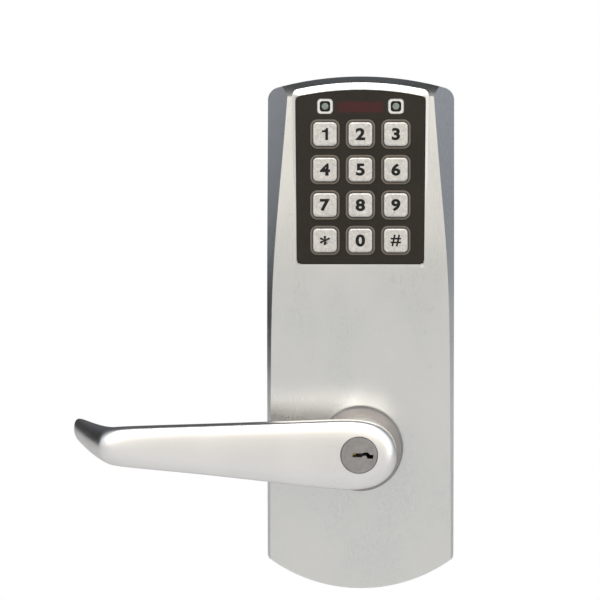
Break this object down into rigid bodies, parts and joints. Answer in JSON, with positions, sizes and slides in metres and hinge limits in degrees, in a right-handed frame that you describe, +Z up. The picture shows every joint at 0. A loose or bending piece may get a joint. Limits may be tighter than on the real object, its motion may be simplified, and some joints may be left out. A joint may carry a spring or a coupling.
{
  "type": "keypad door lock",
  "caption": "Outside half of a keypad smart lock: tall arched satin housing, dark keypad, return lever with a key cylinder, threaded posts and a square spindle.",
  "frame": {"origin": "where the lever's axis crosses the door's outside face, which is the back of the gasket", "axes": "+Y into the door along the lever's axis, +Z up the housing, +X to the right seen from outside"},
  "size_m": [0.1783, 0.1079, 0.2396],
  "materials": {
    "satin_metal": "satin chrome on cast zinc",
    "plate_steel": "zinc-plated steel",
    "bright_steel": "plain bright steel",
    "bright_chrome": "bright plated",
    "key_metal": "fine-blasted satin",
    "dark_plastic": "satin, dark brown-black",
    "black_plastic": "matt",
    "white_plastic": "matt",
    "clear_plastic": "clear",
    "lens_plastic": "smoked, translucent",
    "green_board": "solder mask",
    "grey_silicone": "matt",
    "black_rubber": "matt",
    "bronze": "sintered bronze",
    "acetal": "natural acetal",
    "motor_can": "drawn steel can",
    "nickel_brass": "satin nickel over brass",
    "brass_pins": "plain brass"
  },
  "bodies": {
    "housing": {"front_housing": "satin_metal", "back_plate": "plate_steel", "door_gasket": "black_rubber", "keypad_faceplate": "dark_plastic", "panel_seal": "black_rubber", "keypad_mat": "grey_silicone", "keypad_board": "green_board", "dome_switches": "bright_steel", "board_chips": "black_plastic", "board_connector": "white_plastic", "board_screws": "bright_steel", "indicator_leds": "clear_plastic", "indicator_lenses": "lens_plastic", "indicator_bezels": "bright_chrome", "beeper": "black_plastic", "lever_collar": "satin_metal", "lever_bush": "bronze", "thrust_washer": "acetal", "stop_plate": "plate_steel", "return_spring": "bright_steel", "clutch_motor": "motor_can", "motor_bracket": "plate_steel", "bracket_screws": "bright_steel", "upper_mounting_post": "plate_steel", "lower_mounting_post": "plate_steel", "plate_screws": "bright_steel", "cable_grommet": "black_rubber"},
    "lever": {"lever_handle": "satin_metal", "lever_sleeve": "bright_steel", "sleeve_clip": "bright_steel", "clutch_driver": "plate_steel", "cylinder_shell": "nickel_brass", "driver_pins": "brass_pins", "pin_springs": "bright_steel", "cylinder_retainer": "bright_steel", "lever_catch": "bright_steel"},
    "plug": {"key_plug": "nickel_brass", "key_pins": "brass_pins", "tailpiece": "bright_steel", "plug_clip": "bright_steel"},
    "spindle_set": {"spindle": "plate_steel", "clutch_follower": "bright_steel"},
    "clutch_pin": {"clutch_pin": "bright_steel"},
    "shifter": {"shifter": "acetal"},
    "drive_screw": {"drive_screw": "bright_steel"},
    "key_1": {"key_1": "key_metal"},
    "key_2": {"key_2": "key_metal"},
    "key_3": {"key_3": "key_metal"},
    "key_4": {"key_4": "key_metal"},
    "key_5": {"key_5": "key_metal"},
    "key_6": {"key_6": "key_metal"},
    "key_7": {"key_7": "key_metal"},
    "key_8": {"key_8": "key_metal"},
    "key_9": {"key_9": "key_metal"},
    "key_star": {"key_star": "key_metal"},
    "key_0": {"key_0": "key_metal"},
    "key_hash": {"key_hash": "key_metal"}
  },
  "joints": [
    {"name": "lever_turn", "type": "hinge", "parent": "housing", "child": "lever", "pos_m": [0, 0, 0], "axis": [0, -1, 0], "range_deg": [0, 60], "stiffness_Nm_per_rad": 1, "springref_deg": -28.65, "deforming": ["return_spring"]},
    {"name": "plug_turn", "type": "hinge", "parent": "lever", "child": "plug", "pos_m": [0, 0, 0], "axis": [0, 1, 0], "range_deg": [0, 90]},
    {"name": "spindle_turn", "type": "hinge", "parent": "housing", "child": "spindle_set", "pos_m": [0, 0, 0], "axis": [0, -1, 0], "range_deg": [0, 60]},
    {"name": "screw_turn", "type": "hinge", "parent": "housing", "child": "drive_screw", "pos_m": [0, -0.0104, 0], "axis": [0, 0, 1], "range_deg": [0, 720]},
    {"name": "shifter_slide", "type": "slide", "parent": "housing", "child": "shifter", "axis": [0, 0, 1], "range_m": [0, 0.0024]},
    {"name": "clutch_pin_slide", "type": "slide", "parent": "lever", "child": "clutch_pin", "axis": [0, 0, 1], "range_m": [0, 0.001]},
    {"name": "key_1_press", "type": "slide", "parent": "housing", "child": "key_1", "axis": [0, 1, 0], "range_m": [0, 0.0011], "stiffness_N_per_m": 400, "springref_m": -0.0005, "deforming": ["keypad_mat"]},
    {"name": "key_2_press", "type": "slide", "parent": "housing", "child": "key_2", "axis": [0, 1, 0], "range_m": [0, 0.0011], "stiffness_N_per_m": 400, "springref_m": -0.0005, "deforming": ["keypad_mat"]},
    {"name": "key_3_press", "type": "slide", "parent": "housing", "child": "key_3", "axis": [0, 1, 0], "range_m": [0, 0.0011], "stiffness_N_per_m": 400, "springref_m": -0.0005, "deforming": ["keypad_mat"]},
    {"name": "key_4_press", "type": "slide", "parent": "housing", "child": "key_4", "axis": [0, 1, 0], "range_m": [0, 0.0011], "stiffness_N_per_m": 400, "springref_m": -0.0005, "deforming": ["keypad_mat"]},
    {"name": "key_5_press", "type": "slide", "parent": "housing", "child": "key_5", "axis": [0, 1, 0], "range_m": [0, 0.0011], "stiffness_N_per_m": 400, "springref_m": -0.0005, "deforming": ["keypad_mat"]},
    {"name": "key_6_press", "type": "slide", "parent": "housing", "child": "key_6", "axis": [0, 1, 0], "range_m": [0, 0.0011], "stiffness_N_per_m": 400, "springref_m": -0.0005, "deforming": ["keypad_mat"]},
    {"name": "key_7_press", "type": "slide", "parent": "housing", "child": "key_7", "axis": [0, 1, 0], "range_m": [0, 0.0011], "stiffness_N_per_m": 400, "springref_m": -0.0005, "deforming": ["keypad_mat"]},
    {"name": "key_8_press", "type": "slide", "parent": "housing", "child": "key_8", "axis": [0, 1, 0], "range_m": [0, 0.0011], "stiffness_N_per_m": 400, "springref_m": -0.0005, "deforming": ["keypad_mat"]},
    {"name": "key_9_press", "type": "slide", "parent": "housing", "child": "key_9", "axis": [0, 1, 0], "range_m": [0, 0.0011], "stiffness_N_per_m": 400, "springref_m": -0.0005, "deforming": ["keypad_mat"]},
    {"name": "key_star_press", "type": "slide", "parent": "housing", "child": "key_star", "axis": [0, 1, 0], "range_m": [0, 0.0011], "stiffness_N_per_m": 400, "springref_m": -0.0005, "deforming": ["keypad_mat"]},
    {"name": "key_0_press", "type": "slide", "parent": "housing", "child": "key_0", "axis": [0, 1, 0], "range_m": [0, 0.0011], "stiffness_N_per_m": 400, "springref_m": -0.0005, "deforming": ["keypad_mat"]},
    {"name": "key_hash_press", "type": "slide", "parent": "housing", "child": "key_hash", "axis": [0, 1, 0], "range_m": [0, 0.0011], "stiffness_N_per_m": 400, "springref_m": -0.0005, "deforming": ["keypad_mat"]}
  ],
  "couplings": [
    {"joint": "spindle_turn", "follows": "lever_turn", "ratio": 1},
    {"joint": "screw_turn", "follows": "shifter_slide", "rad_per_m": 5236},
    {"joint": "clutch_pin_slide", "follows": "shifter_slide", "ratio": 0.41667}
  ]
}
